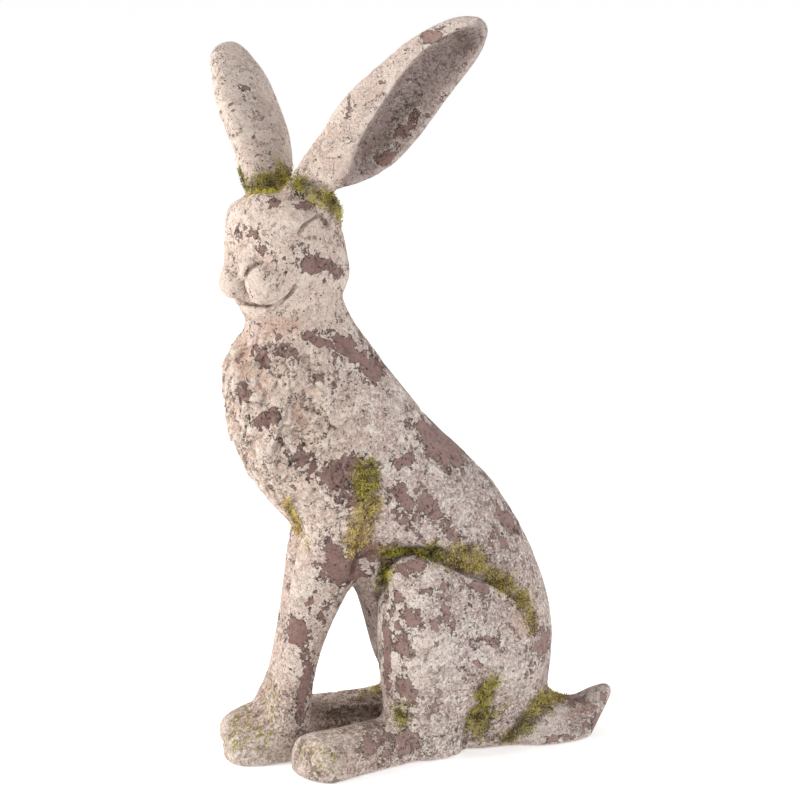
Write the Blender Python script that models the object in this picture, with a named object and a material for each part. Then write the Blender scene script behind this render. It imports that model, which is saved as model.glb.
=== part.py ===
"""Seated hare garden figurine, cast in one piece, standing on its paws, feet, rump and tail.

The hare looks along -Y with its head turned towards its left (+X), +Z is up, and the origin
is on the ground under the middle of the figure.
"""

import math
import random

import bmesh
import bpy
import numpy as np
from mathutils import Matrix, Vector
from mathutils.bvhtree import BVHTree

# Height of the figure over its ear tips, in metres
FIGURE_HEIGHT = 0.555

# Every station, radius and stroke below is given in units of the figure's height over 555
UNIT = FIGURE_HEIGHT / 555

# Fineness of the melted skins in metres, and the triangles left before the ground cut
BODY_VOXEL = 0.0040
FIGURE_VOXEL = 0.0024
MOST_TRIANGLES = 10600

# The head has its own frame: X to its left, -Y forward, Z up
HEAD_CENTRE = (0, -97, 379)
HEAD_TURN = math.radians(28)

# The right hind leg is drawn in behind the left one by this much
RIGHT_LEG_SETBACK = 25

# Ground points under the ends of the hind feet
LEFT_HEEL = (36, 10)
LEFT_TOE = (71, -97)
RIGHT_HEEL = (-52, 24)
RIGHT_TOE = (-43, -80)

RESIN_COLOUR = (0.52, 0.44, 0.39, 1.0)
RESIN_ROUGHNESS = 0.9


def clear_scene():
    for thing in list(bpy.data.objects):
        bpy.data.objects.remove(thing)


def smooth_step(share):
    share = min(max(share, 0.0), 1.0)
    return share * share * (3.0 - 2.0 * share)


def between(stations, share):
    """A point on the smooth curve through the stations, with its sizes, at a share of the way."""
    spans = len(stations) - 1
    span = min(int(share * spans), spans - 1)
    t = share * spans - span
    before = stations[max(span - 1, 0)]
    first = stations[span]
    second = stations[span + 1]
    after = stations[min(span + 2, spans)]
    return [
        0.5
        * (
            2 * b
            + (c - a) * t
            + (2 * a - 5 * b + 4 * c - d) * t * t
            + (3 * b - a - 3 * c + d) * t**3
        )
        for a, b, c, d in zip(before, first, second, after)
    ]


def add_loft(bm, stations, side=(1, 0, 0), squareness=2.0, ring_points=28, rings=24, caps=(1, 1)):
    """A closed limb through stations of (x, y, z, half width to the side, half depth).

    The side vector is the direction of the half width. Each end is a dome whose length is
    its cap's share of the end's half depth.
    """
    centres = [between(stations, i / rings) for i in range(rings + 1)]
    points = [Vector(c[:3]) for c in centres]
    sections = []
    for i, c in enumerate(centres):
        along = (points[min(i + 1, rings)] - points[max(i - 1, 0)]).normalized()
        across = Vector(side) - Vector(side).dot(along) * along
        across.normalize()
        sections.append((points[i], along, across, along.cross(across), c[3], c[4]))
    dome_rings = 5
    first, last = sections[0], sections[-1]
    start = [(first, k / dome_rings, -caps[0]) for k in range(dome_rings - 1, 0, -1)]
    end = [(last, k / dome_rings, caps[1]) for k in range(1, dome_rings)]
    body = [(section, 0.0, 0.0) for section in sections]
    loops = []
    for (centre, along, across, depth, half_side, half_depth), share, cap in start + body + end:
        shrink = math.cos(share * math.pi / 2)
        lift = math.sin(share * math.pi / 2) * cap * half_depth
        ring = []
        for k in range(ring_points):
            angle = math.tau * k / ring_points
            cos, sin = math.cos(angle), math.sin(angle)
            reach = (abs(cos) ** squareness + abs(sin) ** squareness) ** (-1.0 / squareness)
            place = (
                centre
                + along * lift
                + across * (half_side * shrink * reach * cos)
                + depth * (half_depth * shrink * reach * sin)
            )
            ring.append(bm.verts.new(place))
        loops.append(ring)
    for lower, upper in zip(loops, loops[1:]):
        for k in range(ring_points):
            following = (k + 1) % ring_points
            bm.faces.new((lower[k], lower[following], upper[following], upper[k]))
    for ring, section, cap, step in (
        (loops[0], first, -caps[0], 1),
        (loops[-1], last, caps[1], -1),
    ):
        pole = bm.verts.new(section[0] + section[1] * cap * section[5])
        for k in range(ring_points):
            pair = (ring[(k + 1) % ring_points], ring[k])
            bm.faces.new((pole, *pair[::step]))


def add_ball(bm, centre, radii, turn=None):
    """An ellipsoid with its radii along X, Y and Z before the turn."""
    place = Matrix.Translation(centre) @ (turn or Matrix()) @ Matrix.Diagonal((*radii, 1.0))
    bmesh.ops.create_uvsphere(bm, u_segments=28, v_segments=18, radius=1.0, matrix=place)


def head_matrix():
    """From the head's own frame (X to its left, -Y forward, Z up) to the figure's."""
    return Matrix.Translation(HEAD_CENTRE) @ Matrix.Rotation(HEAD_TURN, 4, "Z")


def add_torso(bm):
    add_loft(
        bm,
        [
            (0, -96, 345, 35, 35),
            (0, -91, 322, 39, 42),
            (0, -90, 303, 43, 56),
            (0, -88, 283, 47, 61),
            (0, -72, 245, 54, 66),
            (0, -33, 199, 57, 65),
            (4, 10, 152, 57, 67),
            (6, 35, 85, 58, 71),
            (6, 42, 28, 50, 60),
            (6, 44, -12, 44, 55),
        ],
        rings=40,
        squareness=2.1,
    )


def add_foreleg(bm, side):
    """One foreleg with its shoulder. Side is 1 on the hare's left and -1 on its right.

    The right leg stands a little further back and the left paw reaches further forward.
    """
    back = 0 if side > 0 else 6
    reach = 9 if side > 0 else 0
    add_loft(
        bm,
        [
            (side * 31, -57, 212, 24, 32),
            (side * 28, -66 + back, 172, 24, 29),
            (side * 22, -81 + back, 132, 20.5, 22.5),
            (side * 19.5, -93 + back, 92, 19, 16.5),
            (side * 19, -101 + back, 56, 18.5, 15),
            (side * 19.5, -106 + back / 2, 28, 20, 18.5),
            (side * 19.5, -109, 6, 20, 19),
        ],
        rings=32,
    )
    add_loft(
        bm,
        [
            (side * 20, -104, 8, 19, 20),
            (side * 21, -118 - reach / 2, 7, 22, 22),
            (side * 21, -129 - reach, -1, 22, 26),
        ],
        rings=10,
        squareness=3,
        caps=(1, 0.6),
    )


def add_haunch(bm, side, setback):
    """Thigh and shank of one hind leg; the setback draws the knee towards the rump."""
    add_loft(
        bm,
        [
            (side * 27, 60, 54, 33, 47),
            (side * 39, 34 + 0.5 * setback, 80, 35, 42),
            (side * 45, 7 + 0.9 * setback, 105, 33, 35),
            (side * 47, -14 + setback, 128, 30, 28),
        ],
        rings=20,
        squareness=2.3,
        caps=(0.5, 0.9),
    )
    add_loft(
        bm,
        [
            (side * 47, -14 + setback, 128, 29, 29),
            (side * 49, -8 + setback, 92, 31, 36),
            (side * 46, -7 + setback, 45, 29, 32),
            (side * 41, -6 + setback, -4, 26, 30),
        ],
        rings=20,
        squareness=2.3,
        caps=(0.9, 0.3),
    )
    add_ball(bm, (side * 41, 20 + 0.6 * setback, 72), (33, 42, 42))


def add_hind_foot(bm, heel, toe, height):
    """One long hind foot between the ground points under its heel and its toes."""
    heel, toe = Vector((*heel, 0)), Vector((*toe, 0))
    stations = []
    for share, half_width, swell in ((0, 22, 0), (0.35, 21, -1), (0.7, 23, -1), (1, 27, 0)):
        place = heel.lerp(toe, share)
        stations.append((place.x, place.y, height / 3 - 3 * share, half_width, height * 2 / 3 + swell))
    add_loft(bm, stations, rings=20, squareness=2.6, caps=(0.6, 0.75))


def add_tail(bm):
    add_loft(
        bm,
        [
            (14, 60, 22, 40, 28),
            (21, 90, 8, 41, 25),
            (26, 113, 7, 33, 21),
            (30, 131, 22, 20, 12),
            (32, 146, 33, 9, 6),
        ],
        rings=24,
        squareness=2.2,
    )


def add_skull(bm):
    """Boxy skull with brows, cheeks, ear roots, nose bridge and chin."""
    first = len(bm.verts)
    add_loft(
        bm,
        [
            (0, 22, 1, 33, 38),
            (0, 4, 0, 39, 45),
            (0, -16, 0, 41, 47),
            (0, -33, -1, 35, 40),
        ],
        squareness=2.3,
        rings=16,
        caps=(0.5, 0.3),
    )
    for side in (-1, 1):
        add_ball(bm, (side * 25, -19, 25), (17, 18, 16))
        add_ball(bm, (side * 26, 5, -12), (19, 28, 26))
        add_ball(bm, (side * 20, 11, 32), (18, 18, 17))
    add_ball(bm, (0, -28, -35), (22, 17, 14))
    bm.verts.ensure_lookup_table()
    bmesh.ops.transform(bm, matrix=head_matrix(), verts=bm.verts[first:])


def add_face(bm):
    """Nose bridge, nose pad, whisker pads and closed eyes."""
    first = len(bm.verts)
    add_loft(
        bm,
        [
            (0, -24, 34, 20, 13),
            (0, -29, 14, 17, 13),
            (0, -37, -2, 14, 12),
            (0, -41, -9, 9, 9),
        ],
        rings=10,
    )
    for side in (-1, 1):
        add_ball(bm, (side * 14, -35, -19), (16.5, 16, 17))
        add_ball(bm, (side * 30, -12, 25), (8, 16, 8))
    bm.verts.ensure_lookup_table()
    bmesh.ops.transform(bm, matrix=head_matrix(), verts=bm.verts[first:])


def ear_ring(half, ridge, peak, back, scoop):
    """The ear's section as (across, out) pairs, from the near edge over the ridge and round.

    The near edge's face rises to a ridge, the hollow runs from there to the far edge, and
    the back closes the ring. The ridge is placed from -1 at the near edge to 1 at the far one.
    """
    steps = 8
    lip = 0.18 * back
    crest = ridge * half
    face = [k / steps for k in range(steps + 1)]
    ring = []
    for s in face[:-1]:
        rise = math.sin(s * math.pi / 2) ** 0.8
        ring.append((-half + (crest + half) * s, lip + (peak - lip) * rise))
    for s in face:
        fall = (1 - s) ** (1 + 4 * scoop)
        dip = 7 * scoop * math.sin(math.pi * s)
        ring.append((crest + (half - crest) * s, lip + (peak - lip) * fall - dip))
    for k in range(2 * steps + 1):
        angle = math.pi * k / (2 * steps)
        ring.append((half * math.cos(angle), -lip - (back - lip) * math.sin(angle) ** 0.8))
    return ring


def add_ear(bm, stations, facing, side):
    """A leaf-shaped ear along stations of (x, y, z, half width, ridge place, peak, back).

    The facing vector points out of the hollow's plane. The hollow lies on the ear's outer
    half, to the left of the facing vector for side 1 and to its right for side -1.
    """
    rings = 30
    centres = [between(stations, i / rings) for i in range(rings + 1)]
    points = [Vector(c[:3]) for c in centres]
    loops = []
    for i, c in enumerate(centres):
        along = (points[min(i + 1, rings)] - points[max(i - 1, 0)]).normalized()
        out = Vector(facing) - Vector(facing).dot(along) * along
        out.normalize()
        across = side * along.cross(out)
        share = i / rings
        scoop = smooth_step((share - 0.22) / 0.2) * smooth_step((1.0 - share) / 0.15)
        ring = ear_ring(*c[3:], scoop)
        loops.append([bm.verts.new(points[i] + across * a + out * o) for a, o in ring])
    count = len(loops[0])
    for lower, upper in zip(loops, loops[1:]):
        for k in range(count):
            following = (k + 1) % count
            bm.faces.new((lower[k], lower[following], upper[following], upper[k]))
    for ring, step in ((loops[0], 1), (loops[-1], -1)):
        pole = bm.verts.new(sum((v.co for v in ring), Vector()) / count)
        for k in range(count):
            pair = (ring[(k + 1) % count], ring[k])
            bm.faces.new((pole, *pair[::step]))


def add_ears(bm):
    add_ear(
        bm,
        [
            (10, -94, 408, 16, 0.8, 13, 14),
            (19, -82, 436, 16, 0.8, 13, 14),
            (28, -63, 453, 24, 0.3, 12, 15),
            (35, -51, 465, 29, -0.05, 11, 15),
            (44, -36, 484, 29.5, -0.21, 10, 15),
            (52, -24, 499, 27.5, -0.34, 9, 14),
            (60, -12, 515, 25, -0.41, 8, 13),
            (68, 3, 530, 21, -0.45, 7, 12),
            (76, 17, 543, 15, -0.35, 6, 10),
            (81, 26, 551, 6, 0, 3, 6),
        ],
        facing=(0.935, -0.286, 0.208),
        side=1,
    )
    add_ear(
        bm,
        [
            (-10, -106, 405, 19, 0.8, 13, 15),
            (-24, -108, 428, 20, 0.8, 13, 15),
            (-40, -107, 444, 25, 0.3, 12, 16),
            (-56, -107, 460, 28, -0.05, 11, 16),
            (-74, -109, 477, 28, -0.21, 10, 15),
            (-90, -110, 493, 26, -0.34, 9, 14),
            (-106, -112, 507, 21, -0.41, 7, 12),
            (-116, -114, 516, 14, -0.35, 5, 10),
            (-120, -116, 520, 6, 0, 3, 6),
        ],
        facing=(-0.84, -0.43, -0.43),
        side=-1,
    )


def mesh_object(name, bm):
    """A new object with the mesh, in metres."""
    mesh = bpy.data.meshes.new(name)
    bm.to_mesh(mesh)
    bm.free()
    thing = bpy.data.objects.new(name, mesh)
    bpy.context.scene.collection.objects.link(thing)
    return thing


def shapes_to_metres(bm):
    bmesh.ops.recalc_face_normals(bm, faces=bm.faces)
    bmesh.ops.scale(bm, vec=(UNIT, UNIT, UNIT), verts=bm.verts)


def melted(name, bm, voxel, smoothing):
    """The overlapping shapes as one skin, with the places where they meet rounded."""
    lump = mesh_object(name, bm)
    remesh = lump.modifiers.new("Melt", "REMESH")
    remesh.mode = "VOXEL"
    remesh.voxel_size = voxel
    smooth = lump.modifiers.new("Round", "SMOOTH")
    smooth.factor = 0.5
    smooth.iterations = smoothing
    graph = bpy.context.evaluated_depsgraph_get()
    skin = bpy.data.meshes.new_from_object(lump.evaluated_get(graph))
    bpy.data.objects.remove(lump)
    return skin


def face_strokes():
    """Mouth, philtrum, nose wings and eyelids, as (points, chisel direction, width, depth)."""
    front = Vector((0, 1, 0))
    mouth = [(34, -17), (29, -25), (19, -32.5), (9, -33.5), (0, -32)]
    mouth += [(-x, z) for x, z in reversed(mouth[:-1])]
    strokes = [
        ([(x, -60, z) for x, z in mouth], front, 5, 3.4),
        ([(0, -60, -12), (0, -60, -21), (0, -60, -30)], front, 4, 3),
    ]
    for side in (-1, 1):
        inward = Vector((-side, 0, 0))
        wing = [(17, 2), (10, -5), (2, -14)]
        upper_lid = [(-27, 21), (-20, 28), (-11, 33.5), (-4, 32), (1, 25)]
        lower_lid = [(-27, 21), (-14, 18), (-3, 21)]
        strokes += [
            ([(side * x, -60, z) for x, z in wing], front, 4, 2.6),
            ([(side * 60, y, z) for y, z in upper_lid], inward, 3.5, 1.6),
            ([(side * 60, y, z) for y, z in lower_lid], inward, 3.5, 1.2),
        ]
    place = head_matrix()
    turn = place.to_3x3()
    return [
        ([place @ Vector(point) for point in points], turn @ toward, width, depth)
        for points, toward, width, depth in strokes
    ]


def toe_strokes():
    """Two grooves between the toes of each foot."""
    strokes = []
    steep = Vector((0, 0.75, -0.66))
    for side in (-1, 1):
        for across in (-7, 7):
            points = [(side * 21 + across, y, 60) for y in (-178, -168, -158)]
            strokes.append((points, steep, 5, 3))
    for heel, toe in ((LEFT_HEEL, LEFT_TOE), (RIGHT_HEEL, RIGHT_TOE)):
        along = (Vector((*toe, 0)) - Vector((*heel, 0))).normalized()
        across = Vector((-along.y, along.x, 0))
        chisel = Vector((-0.75 * along.x, -0.75 * along.y, -0.66))
        for offset in (-8, 8):
            start = Vector((*toe, 60)) + offset * across + 50 * along
            points = [start + reach * along for reach in (0, 14, 28)]
            strokes.append((points, chisel, 5, 3))
    return strokes


def haunch_strokes():
    """The deep crease where each thigh lies against the belly and flank."""
    strokes = []
    crease = [(-42, 122), (-39, 146), (-24, 162), (0, 153), (24, 137), (54, 122), (78, 98)]
    for side, setback in ((1, 0), (-1, RIGHT_LEG_SETBACK)):
        points = [(side * 110, y + setback * (1 - (y + 42) / 120), z) for y, z in crease]
        strokes.append((points, Vector((-side, 0, 0)), 8, 4))
    for side in (-1, 1):
        points = [(side * 14, -160, 206), (side * 20, -160, 188), (side * 25, -160, 164)]
        strokes.append((points, Vector((0, 1, 0)), 7, 3))
    return strokes


def chest_strokes():
    """Rows of short hanging locks of fur round the front of the chest."""
    chooser = random.Random(11)
    strokes = []
    for row in range(8):
        height = 306 - 13 * row
        for column in range(-4, 5):
            angle = math.radians(19 * column + 9.5 * (row % 2) + chooser.uniform(-4, 4))
            slant = math.radians(chooser.uniform(-9, 9))
            points = []
            for drop in (0, 8, 16):
                turn = angle + slant * drop / 16
                place = Vector((math.sin(turn), -math.cos(turn), 0)) * 90
                points.append(place + Vector((0, -85, height + chooser.uniform(-2, 2) - drop)))
            toward = Vector((-math.sin(angle), math.cos(angle), 0))
            strokes.append((points, toward, chooser.uniform(5, 7), chooser.uniform(1.6, 2.8)))
    return strokes


def carve(skin, strokes):
    """Presses each stroke into the skin where its chisel direction first meets it."""
    count = len(skin.vertices)
    places = np.empty(3 * count)
    normals = np.empty(3 * count)
    skin.vertices.foreach_get("co", places)
    skin.vertices.foreach_get("normal", normals)
    places = places.reshape(-1, 3)
    normals = normals.reshape(-1, 3)
    corners = [tuple(v.co) for v in skin.vertices]
    tree = BVHTree.FromPolygons(corners, [tuple(face.vertices) for face in skin.polygons])
    push = np.zeros(count)
    for points, toward, width, depth in strokes:
        samples = 10 * (len(points) - 1)
        for i in range(samples + 1):
            start = Vector(between(points, i / samples)) * UNIT
            hit = tree.ray_cast(start, toward)[0]
            if hit is None:
                continue
            ends = 1 if 0.15 * samples < i < 0.85 * samples else 0.6
            away = np.linalg.norm(places - np.array(hit), axis=1) / (width * UNIT)
            near = away < 1
            dent = ends * depth * UNIT * (1 - away[near] ** 2) ** 2
            push[near] = np.maximum(push[near], dent)
    places -= normals * push[:, None]
    skin.vertices.foreach_set("co", places.ravel())
    skin.update()


def ground_cut(figure):
    """Cuts the figure off flat where it stands on the ground."""
    bm = bmesh.new()
    size = 2 * FIGURE_HEIGHT
    bmesh.ops.create_cube(bm, size=size, matrix=Matrix.Translation((0, 0, -size / 2)))
    cutter = mesh_object("ground", bm)
    cutter.hide_render = True
    cutter.display_type = "WIRE"
    cut = figure.modifiers.new("Ground", "BOOLEAN")
    cut.operation = "DIFFERENCE"
    cut.solver = "EXACT"
    cut.object = cutter
    return cutter


def resin():
    """The matt, weathered resin that the whole figure is cast in."""
    material = bpy.data.materials.new("weathered_resin")
    material.use_nodes = True
    shader = material.node_tree.nodes["Principled BSDF"]
    shader.inputs["Base Color"].default_value = RESIN_COLOUR
    shader.inputs["Roughness"].default_value = RESIN_ROUGHNESS
    shader.inputs["Metallic"].default_value = 0.0
    material.diffuse_color = RESIN_COLOUR
    return material


def settle(figure):
    """Applies the modifiers and puts the origin on the ground under the figure's middle."""
    graph = bpy.context.evaluated_depsgraph_get()
    figure.data = bpy.data.meshes.new_from_object(figure.evaluated_get(graph))
    figure.data.name = figure.name
    figure.modifiers.clear()
    figure.data.materials.clear()
    figure.data.materials.append(resin())
    corners = [v.co for v in figure.data.vertices]
    middle_x = (min(c.x for c in corners) + max(c.x for c in corners)) / 2
    middle_y = (min(c.y for c in corners) + max(c.y for c in corners)) / 2
    figure.data.transform(Matrix.Translation((-middle_x, -middle_y, 0)))
    figure.data.shade_smooth()
    figure.data.set_sharp_from_angle(angle=math.radians(40))
    return middle_x, middle_y


def main():
    clear_scene()
    masses = bmesh.new()
    add_torso(masses)
    for side in (-1, 1):
        add_foreleg(masses, side)
    add_tail(masses)
    add_skull(masses)
    shapes_to_metres(masses)
    body_skin = melted("body_masses", masses, BODY_VOXEL, 12)

    legs = bmesh.new()
    for side, setback in ((1, 0), (-1, RIGHT_LEG_SETBACK)):
        add_haunch(legs, side, setback)
    shapes_to_metres(legs)
    leg_skin = melted("haunch_masses", legs, BODY_VOXEL, 12)

    shapes = bmesh.new()
    add_hind_foot(shapes, LEFT_HEEL, LEFT_TOE, height=33)
    add_hind_foot(shapes, RIGHT_HEEL, RIGHT_TOE, height=25)
    add_face(shapes)
    add_ears(shapes)
    shapes_to_metres(shapes)
    shapes.from_mesh(body_skin)
    shapes.from_mesh(leg_skin)
    skin = melted("figure_masses", shapes, FIGURE_VOXEL, 6)
    carve(skin, face_strokes() + toe_strokes() + haunch_strokes() + chest_strokes())
    figure = bpy.data.objects.new("rabbit_figure", skin)
    bpy.context.scene.collection.objects.link(figure)
    thin = figure.modifiers.new("Thin out", "DECIMATE")
    thin.ratio = MOST_TRIANGLES / (2 * len(skin.polygons))
    thin.use_collapse_triangulate = True
    ground = ground_cut(figure)
    middle = settle(figure)
    bpy.data.objects.remove(ground)
    return middle


if __name__ == "__main__":
    main()
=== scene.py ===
"""Weathered garden hare cast in resin: a flaking stone-coloured coat, moss, and studio light."""

import math

import bpy
import numpy as np
from mathutils import Matrix, Vector
from mathutils.bvhtree import BVHTree


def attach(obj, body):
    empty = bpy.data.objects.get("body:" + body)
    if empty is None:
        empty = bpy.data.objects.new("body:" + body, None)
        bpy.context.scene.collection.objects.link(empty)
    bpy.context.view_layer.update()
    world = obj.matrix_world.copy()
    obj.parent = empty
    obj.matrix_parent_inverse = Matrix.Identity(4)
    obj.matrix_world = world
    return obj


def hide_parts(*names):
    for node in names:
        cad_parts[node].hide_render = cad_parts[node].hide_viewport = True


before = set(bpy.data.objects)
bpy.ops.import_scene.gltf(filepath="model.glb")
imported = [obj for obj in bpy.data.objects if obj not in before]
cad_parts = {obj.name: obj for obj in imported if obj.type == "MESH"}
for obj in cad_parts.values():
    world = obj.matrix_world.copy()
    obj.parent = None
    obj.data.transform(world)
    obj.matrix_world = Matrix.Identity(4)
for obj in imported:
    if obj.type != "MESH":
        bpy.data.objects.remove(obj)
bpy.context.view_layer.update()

# Where the picture is taken from, and how many metres one picture dot covers there
CAMERA_TURN = math.radians(73)
CAMERA_RISE = math.radians(12)
CAMERA_AWAY = 2.3
CAMERA_AIM = Vector((0.0126, -0.0083, 0.2625))
LENS = 138.0
SENSOR = 36
PICTURE = 800
DOT = 0.00075

# The head's own frame: X to its left, -Y forward, Z up
HEAD_CENTRE = Vector((0.0126, -0.0933, 0.379))
HEAD_TURN = math.radians(28)

# The skin: its mesh width, the most triangles that it keeps, and the scale of its painted relief
SKIN_FINENESS = 0.0011
MOST_TRIANGLES = 192000
COAT_RELIEF = 0.00135

# Carved forms: the thigh's ledge and the groove above it, the near ear's hollow and its rim,
# and the dip in the tail's upper line, with its place and half width in picture dots
THIGH_LEDGE = 0.0030
THIGH_GROOVE = 0.0026
EAR_HOLLOW = 0.0030
EAR_RIM = 0.0009
TAIL_DIP = 0.0034
TAIL_DIP_ACROSS = 573
TAIL_DIP_REACH = 15

# Heights of the fur's locks and waves and of the coat's waves, and depths of its small hollows
# and of a hollow that counts in full
LARGE_LOCKS = 0.0017
SMALL_LOCKS = 0.0009
FUR_WAVES = 0.0018
COAT_WAVES = 0.00045
COAT_HOLLOWS = 0.0007
FULL_HOLLOW = 0.0006

FIBRE_DENSITY = 2.4
FIBRE_LENGTHS = (0.0015, 0.0048)
FIBRE_WIDTHS = (0.00050, 0.00105)
ROOT_DEPTH = 0.0004
LOWEST_FIBRE = 0.0002
FIRST_SEED = 100

# In picture dots: how far off a spot counts at most, and what facing away from its view adds
FAR_OFF = 60.0
FACING_AWAY = 30


# Places and numbers


class View:
    """A camera's place around the figure, and what it sees where."""

    def __init__(self, turn):
        flat = math.cos(CAMERA_RISE)
        self.back = Vector((math.sin(turn) * flat, -math.cos(turn) * flat, math.sin(CAMERA_RISE)))
        self.right = Vector((math.cos(turn), math.sin(turn), 0))
        self.up = self.back.cross(self.right)
        self.eye = CAMERA_AIM + self.back * CAMERA_AWAY
        self.focal = LENS / SENSOR * PICTURE

    def place(self, points):
        """Across and down in the picture for points in space."""
        offset = points - np.array(self.eye)
        depth = -(offset @ np.array(self.back))
        across = PICTURE / 2 + self.focal * (offset @ np.array(self.right)) / depth
        down = PICTURE / 2 - self.focal * (offset @ np.array(self.up)) / depth
        return across, down

    def ray(self, across, down):
        """The eye point and the direction through a place in the picture."""
        aside = self.right * (across - PICTURE / 2) / self.focal
        above = self.up * (PICTURE / 2 - down) / self.focal
        return self.eye, (aside + above - self.back).normalized()


# The picture's own view and its mirror image, for the side that the picture doesn't show
NEAR_SIDE = View(CAMERA_TURN)
FAR_SIDE = View(-CAMERA_TURN)


def soft_step(value, low, high):
    """0 up to low, 1 from high on and smooth between them."""
    share = np.clip((value - low) / (high - low), 0, 1)
    return share * share * (3 - 2 * share)


def lattice(cells, seed):
    """A fixed number from -1 to 1 for each whole-numbered cell."""
    mixed = cells[:, 0] * 73856093 ^ cells[:, 1] * 19349663 ^ cells[:, 2] * 83492791
    mixed = (mixed ^ seed * 2654435761) & 0xFFFFFFFF
    mixed = ((mixed ^ (mixed >> 15)) * 2246822519) & 0xFFFFFFFF
    mixed = ((mixed ^ (mixed >> 13)) * 3266489917) & 0xFFFFFFFF
    mixed ^= mixed >> 16
    return (mixed & 0xFFFFFF) / 0x7FFFFF - 1


def ripple(points, size, seed, octaves=1, stretch=(1, 1, 1)):
    """Smooth random waves over the points, about -1 to 1, of a size in metres."""
    total = np.zeros(len(points))
    weight_sum = 0.0
    for octave in range(octaves):
        weight = 0.55**octave
        scaled = points / (np.array(stretch) * size / 2**octave) + 17.3 * octave
        cell = np.floor(scaled).astype(np.int64)
        share = scaled - cell
        share = share * share * (3 - 2 * share)
        for corner in range(8):
            step = np.array((corner & 1, corner >> 1 & 1, corner >> 2 & 1))
            part = np.where(step, share, 1 - share).prod(axis=1)
            total += weight * part * lattice(cell + step, seed + octave)
        weight_sum += weight
    return 1.6 * total / weight_sum


# Patches and moss beds


# Bare patches of the brown body colour: across, down, half width, half height, turn
BARE_PATCHES = [
    (314, 264, 20, 9, 12), (308, 256, 9, 7, 0), (330, 272, 8, 8, 30), (276, 207, 8, 5, 10),
    (309, 205, 7, 4, 0), (245, 231, 5, 4, 0), (262, 250, 7, 4, 0), (372, 368, 15, 12, 40),
    (345, 348, 20, 10, 40), (318, 338, 15, 7, 20), (443, 446, 30, 17, 42), (424, 428, 14, 8, 30),
    (402, 462, 13, 9, 0), (343, 472, 16, 22, 60), (350, 495, 10, 9, 0), (402, 495, 15, 8, 60),
    (430, 508, 14, 9, 40), (408, 520, 12, 7, 0), (507, 522, 14, 8, 60), (372, 551, 26, 9, 10),
    (345, 570, 15, 24, 75), (334, 548, 12, 6, 45), (298, 632, 15, 13, 80), (304, 656, 4, 7, 10),
    (310, 607, 4, 9, 10), (327, 605, 4, 4, 0), (321, 620, 3, 4, 0), (304, 690, 6, 34, 8),
    (415, 566, 13, 8, 0), (423, 591, 7, 5, 0), (412, 620, 12, 14, 70), (402, 648, 9, 10, 0),
    (387, 645, 4, 44, 0), (444, 586, 5, 5, 0), (453, 622, 5, 5, 0), (489, 640, 8, 6, 0),
    (542, 645, 7, 20, 12), (369, 746, 9, 11, 20), (385, 739, 13, 5, -15), (407, 742, 12, 11, 0),
    (389, 753, 6, 4, 0), (432, 36, 13, 8, -20), (406, 80, 4, 3, 0), (400, 132, 10, 6, -50),
    (383, 157, 7, 5, 0), (241, 89, 5, 3, 0), (262, 356, 10, 7, 60), (243, 392, 8, 8, 0),
    (285, 352, 8, 6, 30), (268, 420, 8, 12, 70), (300, 460, 12, 10, 40), (398, 597, 4, 3, 0),
    (470, 603, 4, 4, 0), (485, 592, 4, 7, -20), (476, 586, 5, 3, 10), (450, 628, 4, 5, 0),
    (438, 622, 6, 5, 30), (444, 612, 5, 7, 30), (532, 666, 3, 10, 20), (529, 647, 3, 7, 20),
    (406, 688, 9, 13, -20), (387, 682, 4, 15, -15), (390, 612, 4, 8, 0), (470, 663, 4, 3, 0),
    (397, 514, 6, 9, 20), (444, 524, 8, 6, 30), (457, 540, 5, 4, 0), (301, 448, 3, 9, 0),
    (311, 467, 5, 8, -20), (331, 558, 8, 9, 0), (340, 572, 9, 10, -30), (445, 95, 5, 3, -40),
    (415, 118, 6, 4, -40), (572, 702, 8, 3, -10), (597, 722, 5, 11, 35), (566, 738, 14, 3, -4),
]

# Rusty stains, in the same terms
RUST_STAINS = [
    (280, 326, 20, 8, 0), (300, 420, 8, 14, 0), (262, 385, 8, 14, 0), (330, 727, 16, 4, -5),
    (245, 360, 8, 22, 0), (272, 600, 7, 40, 10), (584, 708, 16, 7, -20), (520, 625, 12, 12, 0),
]

# Moss beds: across, down, half width, half height, turn, greenness from 0 (dry) to 1
MOSS_BEDS = {
    "crown": [
        (264, 183, 20, 11, -12, 0.9), (282, 174, 13, 14, 0, 0.6), (303, 184, 18, 10, 10, 1.0),
        (322, 194, 17, 11, 38, 0.8), (334, 207, 9, 15, -12, 0.9),
    ],
    "shoulder": [
        (369, 482, 13, 27, 0, 0.8), (370, 510, 13, 26, 10, 0.25), (358, 532, 15, 22, 20, 0.0),
        (362, 467, 7, 9, 0, 0.6), (292, 512, 5, 24, -25, 0.3),
    ],
    "haunch": [
        (400, 551, 24, 7, -8, 0.9), (432, 552, 28, 9, 6, 1.0), (464, 559, 32, 15, 14, 0.45),
        (500, 578, 24, 13, 34, 0.5), (521, 598, 15, 12, 50, 0.55), (532, 618, 6, 18, -12, 0.4),
        (384, 573, 7, 19, 12, 0.85),
    ],
    "shank": [
        (487, 692, 13, 17, 0, 0.8), (482, 718, 12, 20, 15, 0.7), (402, 716, 8, 9, 0, 1.0),
        (377, 692, 10, 4, -12, 0.8),
    ],
    "tail": [
        (542, 704, 18, 12, -30, 0.6), (526, 722, 20, 11, -40, 0.8), (508, 737, 14, 7, -20, 0.6),
        (556, 698, 10, 8, -20, 0.4),
    ],
}

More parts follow.
